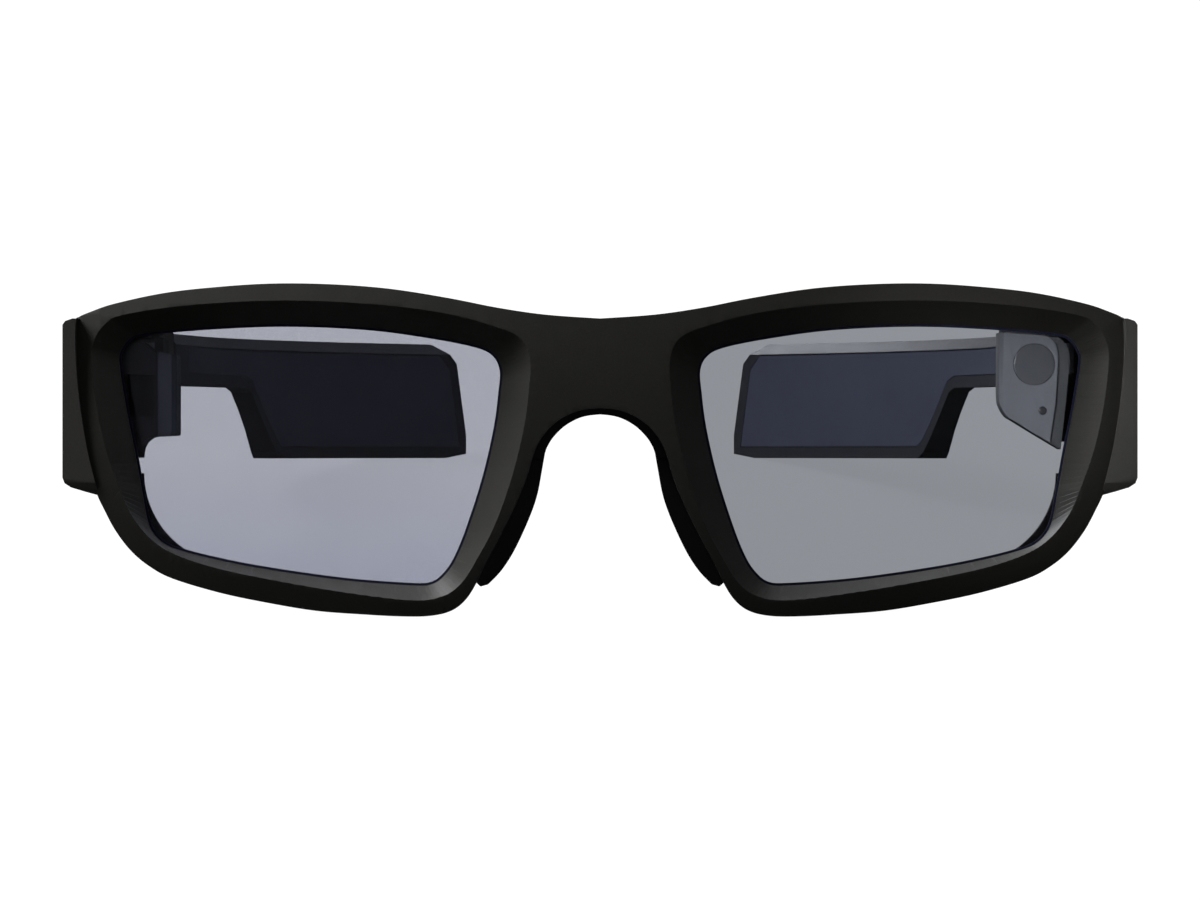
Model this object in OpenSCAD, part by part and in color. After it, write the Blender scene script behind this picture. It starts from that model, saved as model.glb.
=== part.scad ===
// Smart glasses, millimetres.
// Design frame: X across the front, Y from the front towards the temple tips, Z up.
// stand() tips the whole object back so that it rests on the lower rims and the temple tips.

/* [Front] */
// Radius of the wrap of the front seen from above
wrap_radius = 320; // [280:5:420]
// Radius of the bulge of the front seen from the side
bulge_radius = 95; // [80:1:140]
// Depth of the front frame
frame_depth = 7; // [6.5:0.1:8]
// Depth of the rear frame
rear_depth = 2.2; // [1.8:0.1:2.6]
// Thickness of the lenses
lens_depth = 1.8; // [1.4:0.1:2]
// Distance from the bridge front to the lip that holds the lens
lip_start = 4.2; // [3.8:0.1:4.6]
// Clearance left between separate parts
part_gap = 0.12; // [0.05:0.01:0.2]

/* [Temples] */
// Width of the temple at its hinge
hinge_width = 7.5; // [7:0.1:8.5]
// Width of the temple at its thin middle
waist_width = 3; // [2.8:0.1:3.8]
// Width of the pod behind the ear
pod_width = 10.5; // [10:0.1:12]
// Thickness of the inner covers
cover_depth = 1; // [0.8:0.1:1.2]
// Thickness of the outer walls
wall = 1.3; // [1:0.1:1.6]

/* [Joints] */
// Radius of the hinge pin
pin_radius = 1; // [0.8:0.05:1.2]
// Radial clearance of turning parts
run_gap = 0.05; // [0.02:0.01:0.08]
// Travel of the power button
button_travel = 0.4; // [0.3:0.05:0.5]

/* [Hidden] */
$fn = 64;
eps = 0.01;
// Temple path: a straight run, then an arc about bend_centre.
bend_centre = [-147.5, 48.4, 0];
bend_radius = 207;
toe_in = 6;
bend_angle = 29.2;
run = 30.2;
path_end = run + bend_radius * bend_angle * PI / 180;
end_radius = hinge_width / 2;
// Heights of the temple
arm_low = 9.5;
arm_top = 17;
pod_low = -1.3;
// Place of the power button along the right temple
button_place = 96;
// Rest plane through the rear edge of the lower rims and the ends of the pods
rest_front = [11.2, -23.1];
rest_rear = [163, pod_low];
tilt = atan((rest_rear[1] - rest_front[1]) / (rest_rear[0] - rest_front[0]));
lift = rest_front[0] * sin(tilt) - rest_front[1] * cos(tilt);
middle_y = 82.9;
major = wrap_radius - bulge_radius;
back = frame_depth + rear_depth;
gasket = 0.4;
lens_slope = 7.3;
glass_front = lip_start + 0.7 + gasket;
glass_back = glass_front + lens_depth;
guide_front = glass_back + 0.25;
guide_back = guide_front + 0.8;

// Outlines, right half: [distance from the middle, height].
brow = [[0, 18.5], [7.7, 19.05], [14.5, 20.05], [21.3, 21.4], [29.8, 22.75], [38.3, 23.4],
    [46.8, 23.5], [55.3, 22.95], [62.1, 22.15], [68.9, 20.7], [72.3, 19.55], [73.8, 18.9],
    [74.4, 18.2]];
rim = [[74.5, 14.2], [74.05, 8], [73, 1], [71.8, -4.2], [71.1, -6.4], [70.2, -8.3], [68.6, -11.3],
    [66.4, -14.2], [63.8, -16.4], [60.4, -18.2], [53.6, -20.2], [46.8, -21.6], [40, -22.7],
    [33.2, -23.2], [28.1, -23.45], [24.2, -23.4], [21.3, -22.8], [19.3, -21.5], [17.8, -19.4]];
nose = [[16.2, -16.1], [14.3, -12.6], [12.3, -8.6], [10.55, -4.5], [9.45, -0.9], [8.7, 0.95],
    [7.6, 2.55], [6.4, 3.75], [4.6, 4.9], [2.5, 5.65], [0, 5.9]];
// Lens opening and the crest of the bevel round it, point for point.
opening = [[68.2, 12.3], [67.9, 14.2], [66.8, 15.7], [64.9, 16.5], [57, 17.3], [45, 17.8],
    [33, 17.3], [24, 16.1], [17.5, 14.8], [14.9, 13.5], [13.8, 11.3], [14, 8], [14.65, 3.1],
    [16.2, -3.7], [18.35, -10.5], [20, -14.7], [21.5, -17.2], [23.6, -18.9], [27, -19.1],
    [36.3, -18.4], [47.1, -16.9], [54, -15.6], [59.2, -14.3], [62, -13.1], [63.9, -10.7],
    [64.9, -6], [66, 0], [67.2, 6]];
crest = [[71.8, 12.8], [71.3, 15.6], [69.9, 17.6], [67.4, 18.9], [58, 20.25], [45, 20.9],
    [32.5, 20.4], [22.5, 19.15], [15, 17.2], [11.5, 15.6], [10.1, 12.7], [10.2, 8.5], [10.9, 3],
    [12.6, -4], [14.9, -10.4], [17.4, -15.2], [19.6, -18.6], [22.4, -20.5], [26.6, -21],
    [36.3, -19.9], [47.1, -18.1], [54.6, -16.5], [60.2, -14.6], [63.6, -12.4], [66.3, -9],
    [68, -5], [69.7, 0], [71.1, 6.4]];
// Inner edge of the rubber at the nose
saddle_edge = [[0, 5.05], [1.8, 4.85], [3.4, 4.35], [5.15, 3.3], [6.6, 1.85], [7.4, 0.6], [7.8, -0.5],
    [7.92, -1.1]];
pad_edge = [[7.74, -0.1], [8.02, -1.6], [8.33, -3.4], [8.78, -5.9], [9.5, -8.3], [10.78, -11.4],
    [12.4, -14.7], [14.1, -17.25], [15.9, -19.1]];
// Pin that each wing turns on, the wing's hub and the clearance round it
pad_pin = [11.5, 1.6];
pad_hub = 2.2;
pad_gap = 0.35;

function cr(a, b, c, d, t) = (2 * b + (c - a) * t + (2 * a - 5 * b + 4 * c - d) * t * t
    + (3 * b - a - 3 * c + d) * t * t * t) / 2;
// Smooth closed curve through p with n steps between points
function loop(p, n) = let (m = len(p)) [for (i = [0:m - 1]) for (k = [0:n - 1])
    cr(p[(i + m - 1) % m], p[i], p[(i + 1) % m], p[(i + 2) % m], k / n)];
// Smooth open curve through p
function open(p, n) = let (m = len(p) - 1) [for (i = [0:m]) for (k = [0:i < m ? n - 1 : 0])
    cr(p[max(i - 1, 0)], p[i], p[min(i + 1, m)], p[min(i + 2, m)], k / n)];
function flip(p) = [for (i = [len(p) - 1:-1:0]) [-p[i][0], p[i][1]]];
function ease(x, a, b) = let (u = min(1, max(0, (x - a) / (b - a)))) u * u * (3 - 2 * u);
// Depth of the front surface, d further in
function face_y(x, z, d) = wrap_radius
    - sqrt(pow(major + sqrt(pow(bulge_radius - d, 2) - z * z), 2) - x * x);
function lip_y(x) = lip_start + (abs(x) - 14) * tan(lens_slope);

// Placing
module stand() {
    translate([0, -middle_y, lift])
        rotate([-tilt, 0, 0])
            children();
}

module side(s) {
    if (s > 0) children();
    else mirror([1, 0, 0]) children();
}

module temple_frame() {
    translate(bend_centre)
        rotate([0, 0, toe_in])
            children();
}

// Local frame on the temple path at length l: x outward from the inner face, y along the path.
module on_path(l) {
    temple_frame()
        if (l < run) translate([bend_radius, l - run, 0]) children();
        else rotate([0, 0, (l - run) / bend_radius * 180 / PI])
            translate([bend_radius, 0, 0]) children();
}

// Prism along Y from y0 to y1 of a shape drawn in X and Z
module along_y(y0, y1) {
    translate([0, y1, 0])
        rotate([90, 0, 0])
            linear_extrude(y1 - y0)
                children();
}

// Prism along X of a shape drawn in Y and Z
module along_x(x0, x1) {
    translate([x0, 0, 0])
        rotate([90, 0, 90])
            linear_extrude(x1 - x0)
                children();
}

module box(a, b) {
    translate(a)
        cube(b - a);
}

module rod_y(x, z, r, y0, y1) {
    translate([x, y1, z])
        rotate([90, 0, 0])
            cylinder(r = r, h = y1 - y0);
}

module rod_x(y, z, r, x0, x1) {
    translate([x0, y, z])
        rotate([0, 90, 0])
            cylinder(r = r, h = x1 - x0);
}

// Solid between two depths below the curved front surface
module layer(d0, d1) {
    translate([0, wrap_radius, 0])
        rotate([0, 0, -105])
            rotate_extrude(angle = 30, $fn = 360)
                intersection() {
                    difference() {
                        translate([major, 0]) circle(bulge_radius - d0, $fn = 360);
                        translate([major, 0]) circle(bulge_radius - d1, $fn = 360);
                    }
                    translate([major + 20, -30]) square([bulge_radius, 60]);
                }
}

// Slab parallel to the lens between two distances from the bridge front
module lens_slab(y0, y1) {
    translate([14, 0, -40])
        rotate([0, 0, lens_slope])
            translate([-20, y0 * cos(lens_slope), 0])
                cube([90, (y1 - y0) * cos(lens_slope), 80]);
}

module front_outline() {
    half = concat(open(concat(brow, rim, nose), 5));
    polygon(concat(half, flip([for (i = [1:len(half) - 2]) half[i]])));
}

module lens_opening() {
    polygon(loop(opening, 4));
}

module grown_opening(d) {
    offset(delta = d)
        lens_opening();
}

// Opening of the rear frame: a little larger, with a filled lower outer corner.
module rear_opening() {
    difference() {
        grown_opening(0.5);
        difference() {
            translate([51.9, -33.3]) square([30, 30]);
            translate([51.9, -3.3]) circle(13);
        }
    }
}

// Tapered pocket from the lip of the lens out through the front surface
module bevel_pocket() {
    a = loop(opening, 6);
    b = loop(crest, 6);
    n = len(a);
    reach = 9;
    inner = [for (p = a) [p[0], lip_y(p[0]) + 0.3, p[1]]];
    outer = [for (i = [0:n - 1])
        let (fall = lip_y(b[i][0]) - face_y(b[i][0], b[i][1], 0), k = reach / fall,
            x = a[i][0] + (b[i][0] - a[i][0]) * k)
        [x, lip_y(x) - reach, a[i][1] + (b[i][1] - a[i][1]) * k]];
    polyhedron(concat(inner, outer, [[41, lip_y(41) + 0.3, 0], [41, lip_y(41) - reach, 0]]),
        [for (i = [0:n - 1]) let (j = (i + 1) % n)
            each [[2 * n, i, j], [2 * n + 1, n + j, n + i], [j, i, n + i], [j, n + i, n + j]]]);
}

module lens_body(y0, y1, d) {
    intersection() {
        along_y(-2, 30) grown_opening(d);
        lens_slab(y0, y1);
    }
}

// Everything below the surface the glasses stand on, set e above it
module under_floor(e = 0) {
    translate([-100, rest_front[0], rest_front[1] + e])
        rotate([tilt, 0, 0])
            translate([0, -60, -30])
                cube([200, 260, 30]);
}

// Fastener places: [x, z]
frame_holes = [[6.5, 12.5], [30, 19.7], [33.5, -21.4]];
corner_holes = [[72, 11.5], [70.8, 0]];

module screw(x, z, d, r, depth, head, head_depth) {
    y = face_y(x, z, d);
    rod_y(x, z, r, y - depth, y + 0.1);
    rod_y(x, z, head, y, y + head_depth);
}

// Holes that start at depth d below the front surface
module holes(list, r, d, y1) {
    for (s = [-1, 1])
        side(s)
            for (p = list) rod_y(p[0], p[1], r, face_y(p[0], p[1], 0) + d, y1);
}

// Strip under the brow that carries the wiring from side to side
module brow_strip(a, b) {
    intersection() {
        difference() {
            offset(delta = -a) front_outline();
            offset(delta = -b) front_outline();
        }
        translate([-64, 15.2]) square([128, 20]);
    }
}

module front_frame() {
    color("#1c1c1b")
        stand()
            difference() {
                intersection() {
                    layer(0, frame_depth);
                    along_y(-2, 30) front_outline();
                }
                for (s = [-1, 1])
                    side(s) {
                        bevel_pocket();
                        lens_body(lip_start - 0.5, lip_start + 0.7 + eps, 0);
                        lens_body(lip_start + 0.7, 40, 1.5);
                        rod_y(3, 15, 1.35, face_y(3, 15, frame_depth) - 1.3, 12);
                    }
                holes(frame_holes, 0.62, 2.3, 30);
                holes(corner_holes, 0.72, 3.4, 30);
                under_floor();
            }
}

module rear_frame() {
    color("#161616")
        stand()
            difference() {
                intersection() {
                    layer(frame_depth + 0.02, back);
                    along_y(-2, 30) offset(delta = -0.7) front_outline();
                }
                for (s = [-1, 1])
                    side(s) {
                        along_y(-2, 40) rear_opening();
                        lens_body(-5, (s < 0 ? guide_back : glass_back) + 0.05, 1.5);
                        for (p = frame_holes) rod_y(p[0], p[1], 1.12,
                            face_y(p[0], p[1], back) - 0.76, 40);
                        rod_y(pad_pin[0], pad_pin[1], 0.72, face_y(pad_pin[0], pad_pin[1], back) - 1.6, 40);
                        rod_y(3.2, 8.4, 1.25, face_y(3.2, 8.4, back) - 1.3, 40);
                    }
                intersection() {
                    layer(frame_depth - 1, frame_depth + 0.6);
                    along_y(-2, 30) brow_strip(1.05, 2.35);
                }
                holes(frame_holes, 0.7, -2, 30);
                holes(corner_holes, 0.8, -2, 40);
                under_floor();
            }
}

module lens(s) {
    color("#8f97a6")
        stand()
            side(s)
                lens_body(glass_front, glass_back, 1.4);
}

module right_lens() { lens(-1); }
module left_lens() { lens(1); }

module lens_gaskets() {
    color("#0a0a0a")
        stand()
            for (s = [-1, 1])
                side(s)
                    difference() {
                        lens_body(lip_start + 0.72, glass_front - 0.02, 1.4);
                        lens_body(-5, 40, -0.35);
                    }
}

module waveguide() {
    color("#a9b7c9")
        stand()
            side(-1)
                lens_body(guide_front, guide_back, 1.3);
}

module waveguide_seal() {
    color("#0c0c0c")
        stand()
            side(-1)
                difference() {
                    lens_body(glass_back + 0.02, guide_front - 0.02, 1.3);
                    lens_body(-5, 40, 0.4);
                }
}

module bridge_flex() {
    color("#a86a1e")
        stand()
            intersection() {
                layer(frame_depth + 0.1, frame_depth + 0.4);
                along_y(-2, 30) brow_strip(1.2, 2.2);
            }
}

module microphones() {
    color("#b8b9ba")
        stand()
            for (s = [-1, 1])
                side(s)
                    rod_y(3, 15, 1.25, face_y(3, 15, frame_depth) - 1.2,
                        face_y(3, 15, frame_depth) - 0.35);
}

// Nose rubber
module saddle_outline() {
    rise = [[9.7, -1.1], [9.3, 4], [8.3, 6.6], [6.6, 8.8], [4.6, 10.1], [0, 10.6]];
    half = concat(open(saddle_edge, 4), open(rise, 4));
    difference() {
        polygon(concat(half, flip([for (i = [1:len(half) - 2]) half[i]])));
        for (s = [-1, 1]) translate([pad_pin[0] * s, pad_pin[1]]) circle(pad_hub + pad_gap);
    }
}

// The tails of the saddle reach down in front of the wings.
module nose_saddle() {
    color("#101011")
        stand() {
            difference() {
                union() {
                    along_y(9, 10.6) saddle_outline();
                    along_y(9, 13.6)
                        intersection() {
                            saddle_outline();
                            translate([-20, 0.5]) square([40, 20]);
                        }
                }
                layer(-5, back + 0.03);
                translate([-20, 13.6, 12.4])
                    rotate([-55, 0, 0])
                        cube([40, 10, 10]);
            }
            for (s = [-1, 1])
                side(s)
                    rod_y(3.2, 8.4, 1.2, face_y(3.2, 8.4, back) - 1.2, 11);
        }
}

module nose_pins() {
    color("#b9bcc0")
        stand()
            for (s = [-1, 1])
                side(s) {
                    rod_y(pad_pin[0], pad_pin[1], 0.7, face_y(pad_pin[0], pad_pin[1], back) - 1.5, 14.6);
                    rod_y(pad_pin[0], pad_pin[1], 1.2, 14.55, 15.1);
                }
}

module pad_front() {
    polygon(concat(open(pad_edge, 3), [[16.9, -19.4], [17.4, -18.2], [14.4, -9], [13.2, -2],
        [12.9, -0.1]]));
}

module nose_pad(s) {
    color("#121213")
        stand()
            side(s)
                difference() {
                    union() {
                        difference() {
                            hull() {
                                along_y(9.2, 12.2) pad_front();
                                along_y(15.4, 15.8)
                                    translate([1.2, -0.6])
                                        offset(delta = -0.9) pad_front();
                            }
                            box([6, 5, -1.1 - pad_gap], [9.7 + pad_gap, 10.6 + pad_gap, 2]);
                        }
                        rod_y(pad_pin[0], pad_pin[1], pad_hub, 9.2, 15.5);
                    }
                    layer(-5, back + 0.45);
                    rod_y(pad_pin[0], pad_pin[1], 0.7 + run_gap, 5, 20);
                    rod_y(pad_pin[0], pad_pin[1], 1.35, 14.4, 20);
                }
}

module right_nose_pad() { nose_pad(-1); }
module left_nose_pad() { nose_pad(1); }

module frame_screws() {
    color("#5b5d60")
        stand()
            for (s = [-1, 1])
                side(s)
                    for (p = frame_holes)
                        difference() {
                            screw(p[0], p[1], back - 0.7, 0.6, 4.2, 1, 0.6);
                            translate([0, face_y(p[0], p[1], back - 0.4), 0])
                                box([p[0] - 0.7, 0, p[1] - 0.15], [p[0] + 0.7, 3, p[1] + 0.15]);
                            under_floor(0.02);
                        }
}

module corner_screws() {
    color("#5b5d60")
        stand()
            for (s = [-1, 1])
                side(s)
                    for (p = corner_holes)
                        difference() {
                            union() {
                                rod_y(p[0], p[1], 0.7, face_y(p[0], p[1], 0) + 3.5, 20);
                                rod_y(p[0], p[1], 1.3, 19.35, 20.1);
                            }
                            box([p[0] - 0.9, 19.8, p[1] - 0.18], [p[0] + 0.9, 21, p[1] + 0.18]);
                        }
}

// Corner housings
module corner_plan() {
    outer = open([[76, 8], [76, 16], [75.1, 24], [73, 31], [70.9, 36], [69.2, 40.6]], 5);
    polygon(concat([[62, 45], [61.7, 40], [62.2, 35], [65.2, 6.3]], [[76, 6]], outer, [[69, 45]]));
}

module corner_side() {
    polygon(concat([[7.6, 30], [7.6, -4.6]], open([[8.3, -5.9], [12, -6.5], [18, -6.4], [24, -5],
        [29, -1.4], [33.5, 4], [37, 8], [40, 9.5], [46, 9.5]], 5), [[46, 17], [38, 17],
        [26, 17.9], [14, 18.6], [9, 18.6]], [[7.6, 18.6]]));
}

module corner_face() {
    polygon([[50, 19], [74.6, 18.6], [75.6, 18.25], [76, 17.7], [76, -3.9], [75.7, -4.7],
        [74.8, -5.3], [71.2, -6.4], [50, -9]]);
}

// Whole corner before it is hollowed, shrunk by e. Low down it keeps clear of the view through the lens.
module corner_block(e) {
    difference() {
        intersection() {
            translate([0, 0, -20])
                linear_extrude(60)
                    offset(delta = -e) corner_plan();
            along_x(40, 90) offset(delta = -e) corner_side();
            along_y(-2, 60) offset(delta = -e) corner_face();
            temple_frame()
                box([200, -80, -30], [230, -run - (e > 0 ? 8.6 : 1.95), 40]);
        }
        box([40, -10, -30], [68.6 + e, 60, 1.2 + e]);
        box([40, -10, -30], [64.9 + e, 60, 2.9 + e]);
    }
}

module corner_opening(e) {
    intersection() {
        along_x(40, 90) offset(delta = -1.4 - e) corner_side();
        temple_frame()
            box([190, -56.2, -30], [bend_radius + 1, -37 - e, 40]);
    }
}

module corner_shell(s) {
    color("#1b1b1b")
        stand()
            side(s)
                difference() {
                    corner_block(0);
                    // seat round the edge of the front, under a narrow lip
                    difference() {
                        along_y(-2, 40) offset(delta = -0.3) front_outline();
                        layer(back + 0.05, 60);
                    }
                    intersection() {
                        along_y(-2, 40) offset(delta = 0.05) front_outline();
                        layer(-0.03, back + 0.05);
                    }
                    // cavity
                    intersection() {
                        corner_block(1.4);
                        box([50, 18.8, -10], [80, 60, 30]);
                    }
                    corner_opening(0);
                    // way for the parts that look through the lens
                    box([50, 5, -1.6], [68.5, 28.6, 16.8]);
                    for (p = corner_holes) rod_y(p[0], p[1], 0.8, 10, 30);
                    for (p = corner_holes) rod_y(p[0], p[1], 1.4, 19.3, 24);
                    // seat of the temple end and slot of the bracket
                    on_path(0)
                        translate([end_radius, 0, -10]) cylinder(r = end_radius + 0.3, h = 60);
                    on_path(0)
                        box([end_radius - 2.32, -12, 10.88], [end_radius + 2.32, 0, 15.62]);
                }
}

module right_corner_shell() { corner_shell(-1); }
module left_corner_shell() { corner_shell(1); }

module corner_cover(s, start) {
    color("#222224")
        stand()
            side(s)
                intersection() {
                    corner_block(0);
                    corner_opening(part_gap);
                    box([50, start, -30], [80, 60, 30]);
                }
}

module right_corner_cover() { corner_cover(-1, 28.7); }
module left_corner_cover() { corner_cover(1, 24.8); }

// Display engine on the right temple side, drawn for the left and mirrored
axis_y = 23.3;
axis_z = 7.8;

module display_body() {
    polygon([[62.95, 2], [64.1, 1.75], [64.9, 1.2], [65.4, 0.3], [65.6, -1.1], [68.2, -1.1],
        [68.2, 15.5], [65.4, 15.5], [63.6, 14.2], [62.95, 13.95]]);
}

module display_housing() {
    color("#17181b")
        stand()
            side(-1)
                difference() {
                    union() {
                        along_y(15.5, 28.5)
                            intersection() {
                                display_body();
                                offset(delta = -0.35) rear_opening();
                            }
                        box([65.6, 18.95, 2.75], [72.7, 26.6, 14.6]);
                    }
                    rod_x(axis_y, axis_z, 2.75, 65, 72);
                    box([70.9, axis_y - 3.1, axis_z - 3.1], [74, axis_y + 3.1, axis_z + 3.1]);
                    box([62, axis_y - 3, axis_z - 3.6], [68.15, axis_y + 3, axis_z + 3.6]);
                    box([63.5, 15, axis_z - 3], [67.3, axis_y - 2.7, axis_z + 3]);
                    for (p = corner_holes) rod_y(p[0], p[1], 1.6, 15, 20.3);
                }
}

module display_cap() {
    color("#2a2c31")
        stand()
            side(-1)
                difference() {
                    intersection() {
                        translate([0, 0, -10])
                            linear_extrude(50)
                                polygon([[62.9, 15.7], [61, 15.7], [60.3, 16.4], [60.3, 27.8],
                                    [60.9, 28.4], [62.9, 28.4]]);
                        along_y(10, 30)
                            offset(r = 0.35) offset(delta = -0.35)
                                polygon([[60.3, 2.05], [63.4, 1.9], [63.4, 14.05], [60.3, 13.5]]);
                    }
                    box([62, axis_y - 3, axis_z - 3.6], [64, axis_y + 3, axis_z + 3.6]);
                }
}

module fold_prism() {
    color("#9fb0c4")
        stand()
            side(-1)
                translate([0, axis_y, axis_z - 3.5])
                    linear_extrude(7)
                        polygon([[62.2, -2.9], [67.9, -2.9], [67.9, 2.8]]);
}

module projection_lens() {
    color("#a8bccd")
        stand()
            side(-1)
                intersection() {
                    rod_x(axis_y, axis_z, 2.7, 68.3, 70.6);
                    translate([76.4, axis_y, axis_z]) sphere(8.1, $fn = 96);
                }
}

module microdisplay() {
    color("#20262e")
        stand()
            side(-1) {
                box([71.2, axis_y - 3, axis_z - 3], [71.9, axis_y + 3, axis_z + 3]);
                box([71.85, axis_y - 2.6, axis_z - 2.6], [72.5, axis_y + 2.6, axis_z + 2.6]);
            }
}

module heat_spreader() {
    color("#a9744c")
        stand()
            side(-1)
                box([72.9, 19.4, 4.4], [73.3, 24, 10.2]);
}

module display_board() {
    color("#1d5138")
        stand()
            side(-1)
                box([67.2, 28.8, 3.8], [71.2, 29.6, 14.2]);
}

// Camera on the left temple side
low_edge = [[56.8, 12], [56.8, 7.5], [57.1, 6.1], [57.9, 4.8], [58.9, 4.15], [61.5, 2.55],
    [64, 1.05]];

module camera_outline() {
    intersection() {
        polygon(concat([[56.8, 20]], open(low_edge, 4), [[64.8, 6.5]], open([[65.2, 13],
            [65.05, 14.5], [64.5, 15.5], [63.2, 16.5], [61, 18]], 4), [[60, 20]]));
        offset(delta = -0.3) rear_opening();
    }
}

// The housing shows outside the plate towards the temple.
module camera_back() {
    intersection() {
        polygon(concat([[56.8, 20]], open(low_edge, 4), [[65.6, 0.1], [66.4, 7.3]],
            open([[66.9, 12.9], [66.7, 14.3], [66, 15.5], [64.6, 16.6], [63, 18]], 4),
            [[60, 20]]));
        offset(delta = -0.3) rear_opening();
    }
}

module camera_housing() {
    color("#24262b")
        stand()
            side(1)
                difference() {
                    along_y(15.95, 24.6)
                        intersection() {
                            camera_back();
                            translate([50, -10]) square([20, 26.7]);
                        }
                    rod_y(61.8, 12.2, 2.75, 10, 23);
                    box([58.7, 22.9, 9.1], [64.9, 26, 15]);
                    rod_y(63, 5.6, 0.9, 10, 19.2);
                }
}

module camera_plate() {
    color("#3a3c41")
        stand()
            side(1)
                difference() {
                    along_y(14.9, 15.93) camera_outline();
                    rod_y(61.8, 12.2, 3, 10, 20);
                    rod_y(63, 5.6, 0.62, 10, 20);
                    translate([56.1, 13.6, -10])
                        rotate([0, 0, 45])
                            cube([1.9, 1.9, 40]);
                }
}

module camera_window() {
    color("#0c0d10")
        stand()
            side(1)
                rod_y(61.8, 12.2, 2.93, 15.05, 15.88);
}

module camera_barrel() {
    color("#26272a")
        stand()
            side(1)
                difference() {
                    union() {
                        rod_y(61.8, 12.2, 2.65, 18, 22.2);
                        rod_y(61.8, 12.2, 2.1, 16.3, 18.05);
                    }
                    rod_y(61.8, 12.2, 1.2, 16, 18.6);
                }
}

module camera_sensor() {
    color("#23422f")
        stand()
            side(1) {
                box([58.9, 23, 9.3], [64.7, 23.7, 14.8]);
                box([60.2, 22.45, 10.6], [63.4, 23.05, 13.8]);
            }
}

module status_led() {
    color("#dfe6e2")
        stand()
            side(1) {
                rod_y(63, 5.6, 0.58, 15, 16.3);
                rod_y(63, 5.6, 0.85, 16.2, 18);
            }
}

// Hinges
module hinge_bracket(s) {
    color("#8d9094")
        stand()
            side(s)
                on_path(0)
                    translate([end_radius, 0, 0])
                        difference() {
                            union() {
                                translate([0, 0, 11]) cylinder(r = 2.4, h = 4.5);
                                box([-2.2, -9.6, 11], [2.2, 0, 15.5]);
                            }
                            translate([0, 0, 12.3]) cylinder(r = 2.7, h = 1.9);
                            translate([0, 0, 5]) cylinder(r = pin_radius + 0.015, h = 20);
                        }
}

module right_hinge_bracket() { hinge_bracket(-1); }
module left_hinge_bracket() { hinge_bracket(1); }

module hinge_pins() {
    color("#c3c6ca")
        stand()
            for (s = [-1, 1])
                side(s)
                    on_path(0)
                        translate([end_radius, 0, 10.95]) cylinder(r = pin_radius, h = 4.6);
}

module hinge_leaf(s) {
    color("#97999d")
        stand()
            side(s)
                on_path(0)
                    translate([end_radius, 0, 0])
                        difference() {
                            union() {
                                translate([0, 0, 12.36]) cylinder(r = 2.4, h = 1.78);
                                box([-1.5, 0, 12.36], [1.5, 3.5, 14.14]);
                                box([-1.5, 3, 11.4], [1.5, 9, 15.1]);
                            }
                            translate([0, 0, 5]) cylinder(r = pin_radius + run_gap, h = 20);
                        }
}

module right_hinge_leaf() { hinge_leaf(-1); }
module left_hinge_leaf() { hinge_leaf(1); }

module hinge_spring(s) {
    color("#b4b7bb")
        stand()
            side(s)
                on_path(0)
                    translate([end_radius - 0.6, 14, 13.3])
                        for (k = [0:5])
                            translate([0, k * 0.8 - 4.6, 0])
                                rotate([90, 0, 0])
                                    rotate_extrude()
                                        translate([1.1, 0]) circle(0.41, $fn = 20);
}

module right_hinge_spring() { hinge_spring(-1); }
module left_hinge_spring() { hinge_spring(1); }

// Temples
function width(l) = hinge_width - (hinge_width - waist_width) * ease(l, 4, 44)
    + (pod_width - waist_width) * ease(l, 62, 104) - 2.6 * pow(ease(l, 124, path_end + 3), 2);
function at(l, r) = l < run ? [bend_radius + r, l - run]
    : let (a = (l - run) / bend_radius * 180 / PI) (bend_radius + r) * [cos(a), sin(a)];

// Plan of a stretch of the temple from length l0 to l1, between r0 and the outer face less e
module temple_plan(l0, l1, r0, e) {
    n = ceil((l1 - l0) / 3.5);
    polygon(concat([for (i = [0:n]) at(l0 + (l1 - l0) * i / n, r0)],
        [for (i = [n:-1:0]) let (l = l0 + (l1 - l0) * i / n) at(l, width(l) - e)]));
}

// Strip of the temple between two distances from the inner face
module temple_band(l0, l1, r0, r1, z0, z1) {
    n = ceil((l1 - l0) / 3.5);
    temple_frame()
        translate([0, 0, z0])
            linear_extrude(z1 - z0)
                polygon(concat([for (i = [0:n]) at(l0 + (l1 - l0) * i / n, r0)],
                    [for (i = [n:-1:0]) at(l0 + (l1 - l0) * i / n, r1)]));
}

module temple_side() {
    offset(r = 1, $fn = 32)
        offset(delta = -1)
            polygon([[20, arm_low], [95.5, arm_low], [98.4, 8.9], [100.6, 7.3], [108.6, 1.1],
                [110.6, -0.3], [113, pod_low], [166.8, pod_low], [168.2, -0.2], [165.6, 13.9],
                [162.4, arm_top], [20, arm_top]]);
}

module temple_solid(l0, l1, r0, e, shrink) {
    intersection() {
        temple_frame()
            translate([0, 0, -20])
                linear_extrude(60)
                    temple_plan(l0, l1, r0, e);
        along_x(-20, 90) offset(delta = -shrink) temple_side();
    }
}

// Edge chamfers of the inner face
module chamfer(z, size) {
    temple_frame() {
        translate([bend_radius, -run - 8, z])
            rotate([0, 45, 0])
                translate([-size, 0, -size]) cube([2 * size, run + 8 + eps, 2 * size]);
        rotate_extrude(angle = bend_angle + 2, $fn = 360)
            translate([bend_radius, z])
                rotate(45)
                    square(2 * size, center = true);
    }
}

module speaker_slots(l) {
    on_path(l)
        for (k = [0:4])
            translate([1.5, k * 1.9 - 4.2, -5])
                cube([1.7, 0.8, 8]);
}

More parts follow.
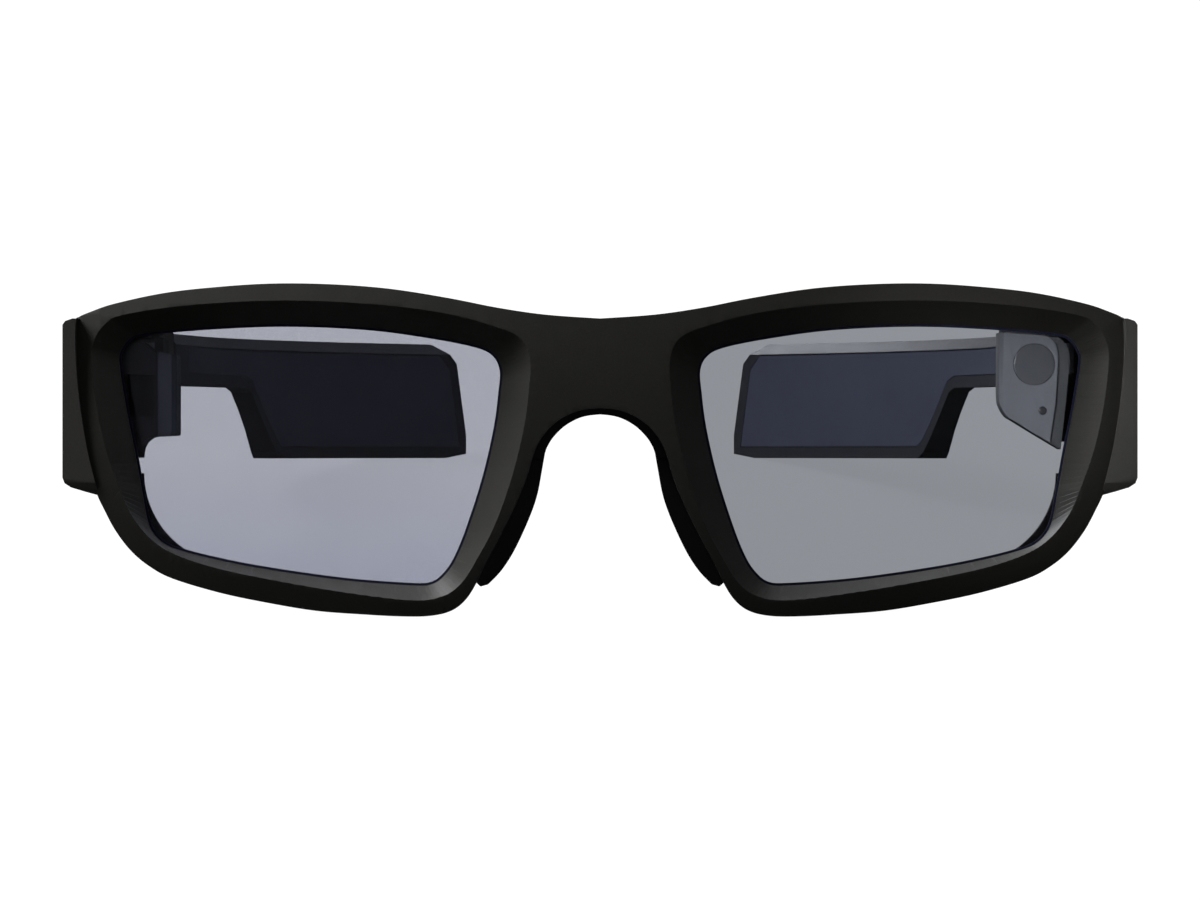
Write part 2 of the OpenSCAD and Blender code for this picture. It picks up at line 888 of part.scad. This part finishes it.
module temple_shell(s, button, port) {
    color("#1a1a1b")
        stand()
            side(s)
                difference() {
                    union() {
                        temple_solid(0, path_end, 0, 0, 0);
                        on_path(0)
                            translate([end_radius, 0, arm_low])
                                cylinder(r = end_radius, h = arm_top - arm_low);
                    }
                    chamfer(arm_top, 1.15);
                    // cover seat
                    temple_solid(10.6, path_end - 1.8, -2, wall + 0.6, 1.75);
                    // cavities
                    temple_solid(57, path_end - 1.3, 0.9, wall, 1.35);
                    intersection() {
                        temple_solid(9, 58, cover_depth - 0.1, wall, 0);
                        box([0, 0, 11.2], [90, 200, 15.3]);
                    }
                    // hinge slot
                    on_path(0)
                        translate([end_radius, 0, 0]) {
                            box([-6, -6, 10.8], [6, -0.8, 15.7]);
                            translate([0, 0, 10.8]) cylinder(r = 2.75, h = 4.9);
                            box([-1.62, 0, 11.28], [1.62, 9.12, 15.22]);
                        }
                    speaker_slots(79);
                    if (button)
                        on_path(button_place)
                            translate([5, 0, -5]) stadium(1.5 + 0.12, 4, 8);
                    if (port)
                        socket_place()
                            box([-0.15, -2.2, -0.15], [3.35, 12, 9.35]);
                    under_floor();
                }
}

// Charging socket in the end of the pod, opening backwards
module socket_place() {
    translate([28.2, 161.8, 3.3])
        children();
}

// Upright prism with round ends: radius r, distance between centres c, height h
module stadium(r, c, h) {
    linear_extrude(h)
        union() {
            translate([0, -c / 2]) circle(r, $fn = 40);
            translate([0, c / 2]) circle(r, $fn = 40);
            translate([-r, -c / 2]) square([2 * r, c]);
        }
}

module right_temple_shell() { temple_shell(-1, true, true); }
module left_temple_shell() { temple_shell(1, false, false); }

module temple_cover(s) {
    color("#1f2024")
        stand()
            side(s)
                intersection() {
                    temple_frame()
                        translate([0, 0, -20])
                            linear_extrude(60)
                                cover_plan(10.6 + part_gap, path_end - 1.8 - part_gap);
                    along_x(-20, 90) offset(delta = -1.75 - part_gap) temple_side();
                }
}

module cover_plan(l0, l1) {
    n = ceil((l1 - l0) / 3.5);
    polygon(concat([for (i = [0:n]) at(l0 + (l1 - l0) * i / n, 0)],
        [for (i = [n:-1:0]) at(l0 + (l1 - l0) * i / n, cover_depth - 0.15)]));
}

module right_temple_cover() { temple_cover(-1); }
module left_temple_cover() { temple_cover(1); }

module temple_flex(s) {
    color("#b0701f")
        stand()
            side(s)
                temple_band(18, 60, cover_depth, cover_depth + 0.25, 11.8, 14.6);
}

module right_temple_flex() { temple_flex(-1); }
module left_temple_flex() { temple_flex(1); }

module speaker(s) {
    color("#3b3c3e")
        stand()
            side(s)
                on_path(79) {
                    box([1.1, -4.4, 1.6], [3.3, 4.4, 11]);
                    box([1.4, -3.8, 0.4], [3, 3.8, 1.7]);
                }
}

module right_speaker() { speaker(-1); }
module left_speaker() { speaker(1); }

module battery(s, z0) {
    color("#8f9296")
        stand()
            side(s)
                temple_band(89, 111, 1.6, 6.6, z0, 14.4);
}

module right_battery() { battery(-1, 4.2); }
module left_battery() { battery(1, 1.4); }

module board(s) {
    color("#1c5a3a")
        stand()
            side(s)
                on_path(119)
                    box([1.5, -6.5, 2.6], [2.3, 6.5, 14]);
}

module main_board() { board(-1); }
module left_board() { board(1); }

module board_chips() {
    color("#17181a")
        stand()
            side(-1)
                on_path(119) {
                    box([2.32, -5.4, 8.6], [3.3, -0.6, 13.2]);
                    box([2.32, 0.6, 9.2], [3.1, 4.4, 13]);
                    box([2.32, -4.6, 3.6], [3, -1.2, 6.8]);
                    box([2.32, 1, 3.6], [3.5, 5, 7]);
                }
}

module usb_port() {
    color("#b5b8bc")
        stand()
            side(-1)
                socket_place()
                    difference() {
                        box([0, 0, 0], [3.2, 4.3, 9.2]);
                        box([0.3, 0.6, 0.3], [2.9, 5, 8.9]);
                    }
}

module power_switch() {
    color("#3d3f42")
        stand()
            side(-1)
                on_path(button_place) {
                    box([3.6, -2.4, 1.9], [6.4, 2.4, 3.4]);
                    translate([5, 0, 1.25]) cylinder(r = 0.8, h = 0.7);
                }
}

module power_button() {
    color("#2b2c2e")
        stand()
            side(-1)
                on_path(button_place)
                    translate([5, 0, 0]) {
                        translate([0, 0, pod_low + 0.02]) stadium(1.5, 4, 1.6);
                        translate([0, 0, 0.1]) stadium(2, 4.6, 1.1 - button_travel);
                    }
}

front_frame();
rear_frame();
right_lens();
left_lens();
lens_gaskets();
waveguide();
waveguide_seal();
bridge_flex();
microphones();
nose_saddle();
nose_pins();
right_nose_pad();
left_nose_pad();
frame_screws();
corner_screws();
right_corner_shell();
right_corner_cover();
display_housing();
display_cap();
fold_prism();
projection_lens();
microdisplay();
heat_spreader();
display_board();
left_corner_shell();
left_corner_cover();
camera_housing();
camera_plate();
camera_window();
camera_barrel();
camera_sensor();
status_led();
right_hinge_bracket();
left_hinge_bracket();
hinge_pins();
right_temple_shell();
right_temple_cover();
right_hinge_leaf();
right_hinge_spring();
right_temple_flex();
right_speaker();
right_battery();
main_board();
board_chips();
power_switch();
usb_port();
power_button();
left_temple_shell();
left_temple_cover();
left_hinge_leaf();
left_hinge_spring();
left_temple_flex();
left_speaker();
left_battery();
left_board();
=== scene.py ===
import math

import bpy
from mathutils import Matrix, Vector

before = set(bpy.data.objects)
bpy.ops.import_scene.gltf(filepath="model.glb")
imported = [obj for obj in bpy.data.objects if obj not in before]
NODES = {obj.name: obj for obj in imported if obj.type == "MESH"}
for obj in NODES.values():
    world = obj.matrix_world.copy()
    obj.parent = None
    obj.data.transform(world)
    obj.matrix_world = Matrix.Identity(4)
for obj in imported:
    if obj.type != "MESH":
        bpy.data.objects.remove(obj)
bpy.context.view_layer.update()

MM = 0.001

# The design frame of part.scad is tipped back, so that the glasses stand on two kinds of feet: the lower
# rims and the ends of the temple pods. These are the feet in that frame, in millimetres. MIDDLE_Y is
# what is halfway along the part once it is tipped.
RIM_FOOT_Y = 11.2
RIM_FOOT_Z = -23.1
POD_FOOT_Y = 163.0
POD_FOOT_Z = -1.3
TILT = math.atan((POD_FOOT_Z - RIM_FOOT_Z) / (POD_FOOT_Y - RIM_FOOT_Y))
LIFT = RIM_FOOT_Y * math.sin(TILT) - RIM_FOOT_Z * math.cos(TILT)
MIDDLE_Y = 82.9


def row(x, y, z):
    """A point of the design frame in millimetres, as a point of the shared frame in metres."""
    c, s = math.cos(TILT), math.sin(TILT)
    return Vector((x, y * c + z * s - MIDDLE_Y, -y * s + z * c + LIFT)) * MM


# ---------------------------------------------------------------- shader nodes

def principled(name):
    material = bpy.data.materials.new(name)
    material.use_nodes = True
    tree = material.node_tree
    return material, tree, tree.nodes["Principled BSDF"]


def local_place(tree):
    """The object's own coordinates, so that a texture moves with its piece."""
    return tree.nodes.new("ShaderNodeTexCoord").outputs["Object"]


def noise(tree, vector, scale, detail, roughness=0.6):
    node = tree.nodes.new("ShaderNodeTexNoise")
    node.inputs["Scale"].default_value = scale
    node.inputs["Detail"].default_value = detail
    node.inputs["Roughness"].default_value = roughness
    tree.links.new(vector, node.inputs["Vector"])
    return node.outputs["Fac"]


def ramp(tree, factor, start, end):
    """A colour between two stops, each a position and a colour."""
    node = tree.nodes.new("ShaderNodeValToRGB")
    for element, (position, colour) in zip(node.color_ramp.elements, (start, end)):
        element.position = position
        element.color = (*colour, 1)
    tree.links.new(factor, node.inputs["Fac"])
    return node.outputs["Color"]


def span(tree, value, low, high, top=1.0):
    """Low where the value is 0, high where it is top."""
    node = tree.nodes.new("ShaderNodeMapRange")
    node.inputs["From Max"].default_value = top
    node.inputs["To Min"].default_value = low
    node.inputs["To Max"].default_value = high
    tree.links.new(value, node.inputs["Value"])
    return node.outputs["Result"]


def add_share(tree, value, share, base):
    """The value times share, plus base."""
    node = tree.nodes.new("ShaderNodeMath")
    node.operation = "MULTIPLY_ADD"
    tree.links.new(value, node.inputs[0])
    node.inputs[1].default_value = share
    tree.links.new(base, node.inputs[2])
    return node.outputs[0]


def bump(tree, shader, height, strength, distance):
    node = tree.nodes.new("ShaderNodeBump")
    node.inputs["Strength"].default_value = strength
    node.inputs["Distance"].default_value = distance
    tree.links.new(height, node.inputs["Height"])
    tree.links.new(node.outputs["Normal"], shader.inputs["Normal"])


def seen(tree):
    """1 for a ray from the camera or through glass, and 0 for any other ray."""
    path = tree.nodes.new("ShaderNodeLightPath")
    node = tree.nodes.new("ShaderNodeMath")
    node.operation = "MAXIMUM"
    tree.links.new(path.outputs["Is Camera Ray"], node.inputs[0])
    tree.links.new(path.outputs["Is Transmission Ray"], node.inputs[1])
    return node.outputs[0]


# ---------------------------------------------------------------- kinds of material

# Scales are in noise cells per metre, depths and heights in metres
SLOW_SCALE = 60          # slow changes of tone in plastic
GLOSS_SCALE = 400        # uneven gloss of plastic
METAL_SCALE = 3000       # brushing of metal
CLOUD_SCALE = 35         # unevenness of the lenses' tint
PLASTIC_GRAIN = 0.00003  # depth of the bump
METAL_GRAIN = 0.00002
LENS_TOP = 0.045         # about the top of the lenses
GLASS_IOR = 1.03         # near that of air, so that the lenses hardly bend or mirror anything
COAT_ROUGHNESS = 0.02


def plastic(name, dark, light, rough, grain, depth, specular=0.5):
    """Moulded plastic: fine grain, slow tone changes and slightly uneven gloss."""
    material, tree, shader = principled(name)
    local = local_place(tree)
    slow = noise(tree, local, SLOW_SCALE, detail=2)
    fine = noise(tree, local, grain, detail=2, roughness=0.7)
    tone = add_share(tree, fine, share=0.6, base=span(tree, slow, 0.0, 0.4))
    gloss = noise(tree, local, GLOSS_SCALE, detail=3)
    tree.links.new(ramp(tree, tone, (0.25, dark), (0.75, light)), shader.inputs["Base Color"])
    tree.links.new(span(tree, gloss, *rough), shader.inputs["Roughness"])
    shader.inputs["Specular IOR Level"].default_value = specular
    bump(tree, shader, fine, strength=depth, distance=PLASTIC_GRAIN)
    return material


def metal(name, dark, light, rough, streak=(1, 1, 1)):
    """Bare metal. A streak above 1 packs its brushing closer along that axis."""
    material, tree, shader = principled(name)
    stretch = tree.nodes.new("ShaderNodeMapping")
    stretch.inputs["Scale"].default_value = streak
    tree.links.new(local_place(tree), stretch.inputs["Vector"])
    brushing = noise(tree, stretch.outputs["Vector"], METAL_SCALE, detail=3)
    tree.links.new(ramp(tree, brushing, (0.3, dark), (0.7, light)), shader.inputs["Base Color"])
    shader.inputs["Metallic"].default_value = 1
    tree.links.new(span(tree, brushing, *rough), shader.inputs["Roughness"])
    bump(tree, shader, brushing, strength=0.15, distance=METAL_GRAIN)
    return material


def glass(name, tint, low_tint, coat):
    """Tinted glass: tint high up and low_tint low down, with a slight cloud between them."""
    material, tree, shader = principled(name)
    local = local_place(tree)
    axes = tree.nodes.new("ShaderNodeSeparateXYZ")
    tree.links.new(local, axes.inputs[0])
    height = span(tree, axes.outputs["Z"], 0.0, 1.0, top=LENS_TOP)
    cloud = noise(tree, local, CLOUD_SCALE, detail=2)
    level = add_share(tree, cloud, share=0.25, base=height)
    tree.links.new(ramp(tree, level, (0.1, low_tint), (0.6, tint)), shader.inputs["Base Color"])
    shader.inputs["Transmission Weight"].default_value = 1
    shader.inputs["Roughness"].default_value = 0.0
    shader.inputs["IOR"].default_value = GLASS_IOR
    shader.inputs["Coat Weight"].default_value = coat
    shader.inputs["Coat Roughness"].default_value = COAT_ROUGHNESS
    return material


# ---------------------------------------------------------------- materials of the part

frame_black = plastic("frame_black", (0.0085, 0.0081, 0.0068), (0.017, 0.0163, 0.0136),
                      rough=(0.44, 0.56), grain=6000, depth=0.6, specular=0.3)
# Painted light: the corner shells get a lighter copy of the frame's black plastic, standing for the
# extra light that falls on their strips beside the front
corner_black_painted_light = plastic("corner_black_painted_light", (0.036, 0.035, 0.032), (0.054, 0.0525, 0.0485),
                       rough=(0.42, 0.56), grain=6000, depth=0.6, specular=0.3)
rear_black = plastic("rear_black", (0.010, 0.010, 0.010), (0.018, 0.018, 0.018),
                     rough=(0.5, 0.65), grain=6000, depth=0.4)
temple_black = plastic("temple_black", (0.028, 0.029, 0.035), (0.044, 0.0455, 0.055),
                       rough=(0.36, 0.48), grain=7000, depth=0.5)
cover_black = plastic("cover_black", (0.068, 0.074, 0.112), (0.100, 0.108, 0.160),
                      rough=(0.4, 0.5), grain=5000, depth=0.3)
cap_grey = plastic("cap_grey", (0.035, 0.040, 0.055), (0.055, 0.062, 0.085),
                   rough=(0.32, 0.42), grain=5000, depth=0.2)
panel_grey = plastic("panel_grey", (0.38, 0.385, 0.41), (0.46, 0.465, 0.49),
                     rough=(0.38, 0.5), grain=5000, depth=0.3)
housing_grey = plastic("housing_grey", (0.17, 0.172, 0.176), (0.23, 0.232, 0.236),
                       rough=(0.4, 0.5), grain=5000, depth=0.3)
housing_dark = plastic("housing_dark", (0.004, 0.004, 0.006), (0.008, 0.008, 0.011),
                       rough=(0.4, 0.55), grain=5000, depth=0.3, specular=0.25)
nose_rubber = plastic("nose_rubber", (0.004, 0.004, 0.004), (0.009, 0.009, 0.009),
                      rough=(0.6, 0.78), grain=9000, depth=0.6, specular=0.3)
seal_rubber = plastic("seal_rubber", (0.005, 0.006, 0.020), (0.010, 0.012, 0.034),
                      rough=(0.7, 0.85), grain=6000, depth=0.4, specular=0.2)
ribbon = plastic("ribbon", (0.35, 0.15, 0.02), (0.55, 0.27, 0.05),
                 rough=(0.3, 0.45), grain=1500, depth=0.3)
board_green = plastic("board_green", (0.01, 0.10, 0.05), (0.02, 0.17, 0.08),
                      rough=(0.3, 0.5), grain=1500, depth=0.4)
chip_black = plastic("chip_black", (0.012, 0.012, 0.014), (0.03, 0.03, 0.033),
                     rough=(0.35, 0.5), grain=3000, depth=0.4)
camera_smoke = plastic("camera_smoke", (0.22, 0.223, 0.235), (0.26, 0.263, 0.275),
                       rough=(0.12, 0.2), grain=2500, depth=0.03)
lamp_grey = plastic("lamp_grey", (0.05, 0.05, 0.055), (0.08, 0.08, 0.085),
                    rough=(0.25, 0.35), grain=2500, depth=0.1)
steel = metal("steel", (0.45, 0.46, 0.48), (0.62, 0.63, 0.65), rough=(0.25, 0.4), streak=(1, 1, 6))
aluminium = metal("aluminium", (0.55, 0.56, 0.58), (0.72, 0.73, 0.75), rough=(0.3, 0.45))
copper = metal("copper", (0.6, 0.3, 0.18), (0.8, 0.45, 0.3), rough=(0.3, 0.45))
lens_tint = glass("lens_tint", (0.350, 0.356, 0.400), (0.290, 0.297, 0.360), coat=0.2)
lens_smoke = glass("lens_smoke", (0.250, 0.262, 0.285), (0.243, 0.254, 0.278), coat=0.2)
clear_glass = glass("clear_glass", (0.96, 0.97, 0.99), (0.93, 0.95, 0.99), coat=0.1)

# Each piece's material and the rounding of its edges in millimetres. Pins, screws, springs and the
# other parts of the hinges aren't listed: they are bare metal.
BARE_METAL = (steel, 0.08)
LOOKS = {
    # front
    "front_frame": (frame_black, 0.35), "rear_frame": (rear_black, 0.2),
    "right_lens": (lens_tint, 0), "left_lens": (lens_smoke, 0), "waveguide": (clear_glass, 0),
    "lens_gaskets": (seal_rubber, 0), "waveguide_seal": (seal_rubber, 0),
    "nose_saddle": (nose_rubber, 0.3), "bridge_flex": (ribbon, 0), "microphones": (aluminium, 0.1),
    # the corner shells' lighter black is painted light
    "right_corner_shell": (corner_black_painted_light, 0.3), "left_corner_shell": (corner_black_painted_light, 0.3),
    "right_corner_cover": (rear_black, 0.1), "left_corner_cover": (rear_black, 0.1),
    # display block
    "display_housing": (housing_dark, 0.2), "display_cap": (cap_grey, 0.2),
    "fold_prism": (clear_glass, 0.05), "projection_lens": (clear_glass, 0),
    "microdisplay": (chip_black, 0.05), "display_board": (board_green, 0.05),
    "heat_spreader": (copper, 0.05),
    # camera
    "camera_housing": (housing_grey, 0.25), "camera_plate": (panel_grey, 0.15),
    "camera_window": (camera_smoke, 0.1), "status_led": (lamp_grey, 0.05),
    "camera_barrel": (chip_black, 0.1), "camera_sensor": (chip_black, 0.05),
    # temples
    "right_temple_shell": (temple_black, 0.5), "left_temple_shell": (temple_black, 0.5),
    "right_temple_cover": (cover_black, 0.08), "left_temple_cover": (cover_black, 0.08),
    "right_temple_flex": (ribbon, 0), "left_temple_flex": (ribbon, 0),
    "right_speaker": (chip_black, 0.2), "left_speaker": (chip_black, 0.2),
    "right_battery": (aluminium, 0.4), "left_battery": (aluminium, 0.4),
    "main_board": (board_green, 0.05), "left_board": (board_green, 0.05),
    "board_chips": (chip_black, 0.08), "power_switch": (chip_black, 0.08), "usb_port": (aluminium, 0.1),
    # moving pieces
    "power_button": (temple_black, 0.15),
    "right_nose_pad": (nose_rubber, 0.5), "left_nose_pad": (nose_rubber, 0.5),
}

SAME_POINT = 1e-6  # metres
SHARP_EDGE = math.radians(30)


def dress(piece, material, rounding):
    """Give a CAD node its material, welded seams, rounded edges and clean shading."""
    mesh = piece.data
    mesh.materials.clear()
    mesh.materials.append(material)
    mesh.polygons.foreach_set("use_smooth", [True] * len(mesh.polygons))
    weld = piece.modifiers.new("weld", "WELD")
    weld.merge_threshold = SAME_POINT
    if rounding:
        bevel = piece.modifiers.new("round", "BEVEL")
        bevel.width = rounding * MM
        bevel.segments = 3
        bevel.limit_method = "ANGLE"
        bevel.angle_limit = SHARP_EDGE
        bevel.miter_outer = "MITER_ARC"
    else:
        split = piece.modifiers.new("edges", "EDGE_SPLIT")
        split.split_angle = SHARP_EDGE
    normals = piece.modifiers.new("normals", "WEIGHTED_NORMAL")
    normals.keep_sharp = True
    normals.weight = 60


for name, piece in NODES.items():
    dress(piece, *LOOKS.get(name, BARE_METAL))

# Lamps shine through the lenses onto what is behind them
for name in ("right_lens", "left_lens", "waveguide"):
    NODES[name].visible_shadow = False

# ---------------------------------------------------------------- floor and background

FLOOR_REACH = 12.0  # metres from the middle to each side
FLOOR_GLOW = 1.0    # where it is seen
FLOOR_UNSEEN = (0.02, 0.02, 0.02)
FLOOR_SEEN = (0.04, 0.04, 0.04)
WORLD_DIM = 0.04    # as a light on the part
WORLD_BRIGHT = 1.1  # where it is seen


def floor():
    """A floor that looks white and throws almost no light on the part."""
    mesh = bpy.data.meshes.new("floor")
    r = FLOOR_REACH
    mesh.from_pydata([(-r, -r, 0), (r, -r, 0), (r, r, 0), (-r, r, 0)], [], [(0, 1, 2, 3)])
    plane = bpy.data.objects.new("floor", mesh)
    bpy.context.scene.collection.objects.link(plane)
    material, tree, shader = principled("floor_pale")
    visible = seen(tree)
    colour = ramp(tree, visible, (0.0, FLOOR_UNSEEN), (1.0, FLOOR_SEEN))
    tree.links.new(colour, shader.inputs["Base Color"])
    shader.inputs["Emission Color"].default_value = (1, 1, 1, 1)
    tree.links.new(span(tree, visible, 0.0, FLOOR_GLOW), shader.inputs["Emission Strength"])
    shader.inputs["Roughness"].default_value = 1.0
    shader.inputs["Specular IOR Level"].default_value = 0.0
    mesh.materials.append(material)


def background():
    """A background that looks white and lights the part only dimly."""
    world = bpy.data.worlds.new("studio")
    bpy.context.scene.world = world
    world.use_nodes = True
    tree = world.node_tree
    shader = tree.nodes["Background"]
    shader.inputs["Color"].default_value = (1, 1, 1, 1)
    tree.links.new(span(tree, seen(tree), WORLD_DIM, WORLD_BRIGHT), shader.inputs["Strength"])


# ---------------------------------------------------------------- lamps and camera

def put(thing, place, aim):
    """Put a lamp or a camera in the scene, turned so that it looks from place to aim."""
    bpy.context.scene.collection.objects.link(thing)
    thing.location = place
    thing.rotation_euler = (Vector(aim) - Vector(place)).to_track_quat("-Z", "Y").to_euler()


def area(name, place, aim, size, watts):
    light = bpy.data.lights.new(name, "AREA")
    light.energy = watts
    light.size = size
    put(bpy.data.objects.new(name, light), place, aim)


def spot(name, place, aim, degrees, radius, watts):
    light = bpy.data.lights.new(name, "SPOT")
    light.energy = watts
    light.spot_size = math.radians(degrees)
    light.spot_blend = 1.0
    light.shadow_soft_size = radius
    put(bpy.data.objects.new(name, light), place, aim)


CAMERA_PANEL = row(57.5, 15, 8)
FRONT = (0, -0.06, 0.03)
LOW_MIDDLE = (0, 0, 0.02)


def lamps():
    area("top_soft", (0, 0.25, 1.2), (0, 0, 0), size=0.8, watts=8)
    area("front_left", (-1.5, -0.75, 1.05), FRONT, size=0.8, watts=8)
    area("front_right", (1.5, -0.8, 0.95), FRONT, size=0.7, watts=2.5)
    area("high_left", (-0.85, -0.02, 1.1), LOW_MIDDLE, size=0.5, watts=28)
    # Just above the line of sight: further to the side it mirrors in a lens
    area("low_fill", (0.05, -1.45, 0.1), LOW_MIDDLE, size=0.25, watts=0.7)
    # Lifts the camera panel behind the lens
    spot("panel_spot", (-0.3, -1.3, 0.3), CAMERA_PANEL, degrees=1.3, radius=0.02, watts=130)
    # Draws the bright strip along the top chamfer of a temple
    area("back_left", (-0.62, 0.88, 0.56), (0.04, 0.02, 0.03), size=0.45, watts=13)


CAMERA_DISTANCE = 1100.0  # millimetres in front of the origin of the design frame
VIEW_WIDTH = 170.0        # millimetres across the picture, VIEW_DEPTH behind that origin
VIEW_DEPTH = 10.0
SENSOR_WIDTH = 36


def camera():
    """The view of the photograph, along the straight-ahead direction of the design frame."""
    optics = bpy.data.cameras.new("camera")
    optics.sensor_width = SENSOR_WIDTH
    optics.lens = SENSOR_WIDTH * (CAMERA_DISTANCE + VIEW_DEPTH) / VIEW_WIDTH
    optics.clip_start = 0.01
    optics.clip_end = 50
    eye = bpy.data.objects.new("camera", optics)
    put(eye, row(0, -CAMERA_DISTANCE, 0), row(0, 0, 0))
    bpy.context.scene.camera = eye


floor()
background()
lamps()
camera()
bpy.context.scene.view_settings.view_transform = "Standard"
